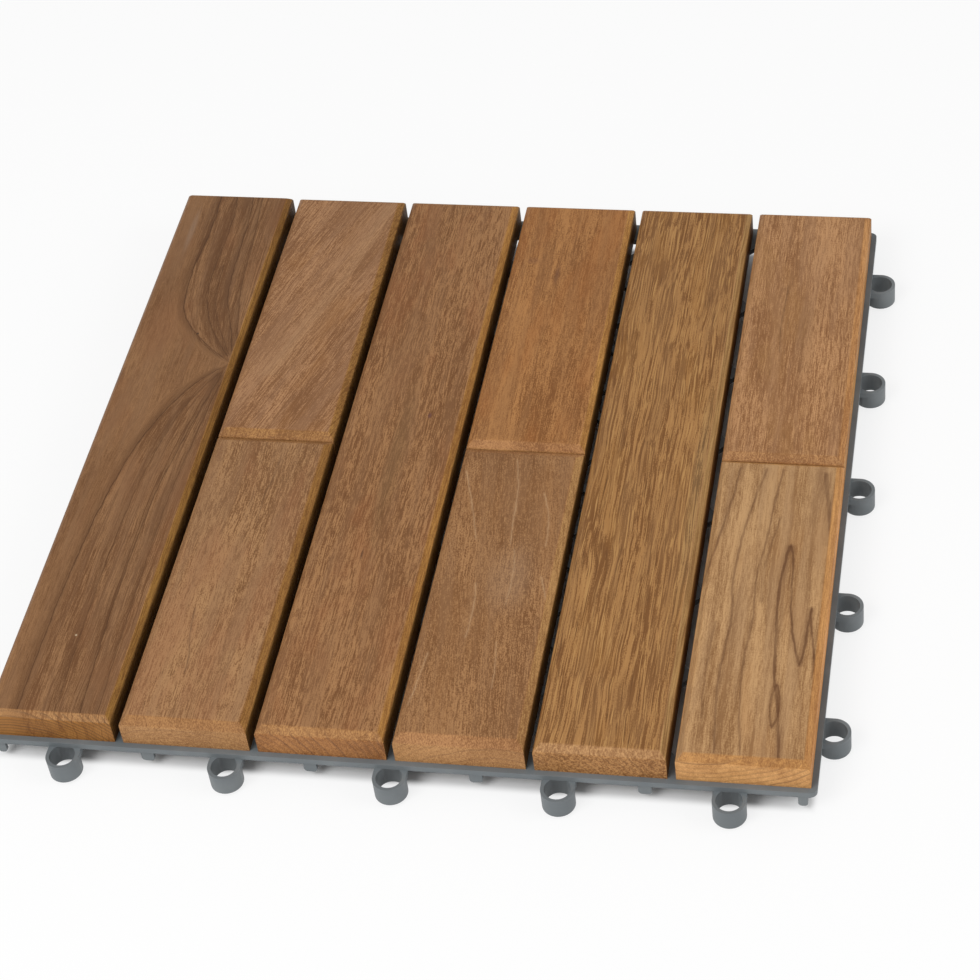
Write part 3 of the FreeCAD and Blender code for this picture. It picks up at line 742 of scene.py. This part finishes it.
# %% Floor and world
def white_ground():
    material, tree, surface = new_material("pale_ground")
    surface.inputs["Base Color"].default_value = linear("#F2F2F2")
    surface.inputs["Roughness"].default_value = 0.9
    surface.inputs["Specular IOR Level"].default_value = 0.0
    rays = add(tree, "LightPath").outputs
    glow = add(tree, "Emission", {"Color": (1, 1, 1, 1), "Strength": 1.0}).outputs[0]
    seen = calc(tree, "MAXIMUM", rays["Is Camera Ray"], rays["Is Glossy Ray"])
    x, y = add(tree, "SeparateXYZ", {0: add(tree, "TexCoord").outputs["Object"]}).outputs[:2]
    outside = calc(tree, "MAXIMUM", calc(tree, "ABSOLUTE", x), calc(tree, "ABSOLUTE", y))
    clear = ramp(tree, outside, HALF_SIDE - 4 * MM, HALF_SIDE)
    share = calc(tree, "MULTIPLY", calc(tree, "MULTIPLY", seen, clear), 0.8)
    both = add(tree, "MixShader", {0: share, 1: surface.outputs[0], 2: glow}).outputs[0]
    tree.links.new(both, tree.nodes["Material Output"].inputs["Surface"])
    return material


def make_floor():
    bm = bmesh.new()
    bmesh.ops.create_grid(bm, x_segments=1, y_segments=1, size=4.0)
    mesh = bpy.data.meshes.new("floor")
    bm.to_mesh(mesh)
    bm.free()
    mesh.materials.append(white_ground())
    floor = bpy.data.objects.new("floor", mesh)
    bpy.context.scene.collection.objects.link(floor)


def make_world():
    world = bpy.data.worlds.new("studio")
    world.use_nodes = True
    tree = world.node_tree
    rays = add(tree, "LightPath").outputs
    seen = calc(tree, "MAXIMUM", rays["Is Camera Ray"], rays["Is Transmission Ray"])
    ambient = 0.55
    strength = calc(tree, "MULTIPLY_ADD", seen, 1.0 - ambient, ambient)
    tree.links.new(strength, tree.nodes["Background"].inputs["Strength"])
    tree.nodes["Background"].inputs["Color"].default_value = (1, 1, 1, 1)
    bpy.context.scene.world = world


make_floor()
make_world()

# %% [markdown]
# One large soft lamp stands in front and above, a little to the left, so that the sawn ends
# are as bright as the faces. A weaker one on the right opens the sides of the chamfers.


# %% Lamps
def area_lamp(name, place, aim, size, power):
    lamp = bpy.data.lights.new(name, "AREA")
    lamp.shape = "SQUARE"
    lamp.size = size
    lamp.energy = power
    holder = bpy.data.objects.new(name, lamp)
    holder.location = place
    holder.rotation_euler = (Vector(aim) - Vector(place)).to_track_quat("-Z", "Y").to_euler()
    bpy.context.scene.collection.objects.link(holder)


area_lamp("key_lamp", (-0.7, -1.2, 1.5), (0, 0, 0), 1.0, 22)
area_lamp("side_lamp", (1.4, -0.2, 0.9), (0, 0, 0), 0.8, 6)

# %% [markdown]
# The camera looks down on the tile from the front right, rolled a little, with a long lens.
# Its place, aim and roll were fitted to the slats and loops in the photograph.

# %% Camera
EYE = Vector((208.6, -720.3, 734.5)) * MM
AIM = Vector((46.34, -7.02, 12.0)) * MM
ROLL = math.radians(-6.25)
LENS = 97.92
SHIFT = (-0.0911, -0.0056)

camera_data = bpy.data.cameras.new("camera")
camera_data.lens = LENS
camera_data.sensor_width = 36
camera_data.shift_x, camera_data.shift_y = SHIFT
camera_data.clip_start = 0.01
camera = bpy.data.objects.new("camera", camera_data)
facing = (AIM - EYE).to_track_quat("-Z", "Y").to_matrix().to_4x4()
camera.matrix_world = Matrix.Translation(EYE) @ facing @ Matrix.Rotation(ROLL, 4, "Z")
bpy.context.scene.collection.objects.link(camera)
bpy.context.scene.camera = camera
bpy.context.scene.view_settings.view_transform = "Standard"
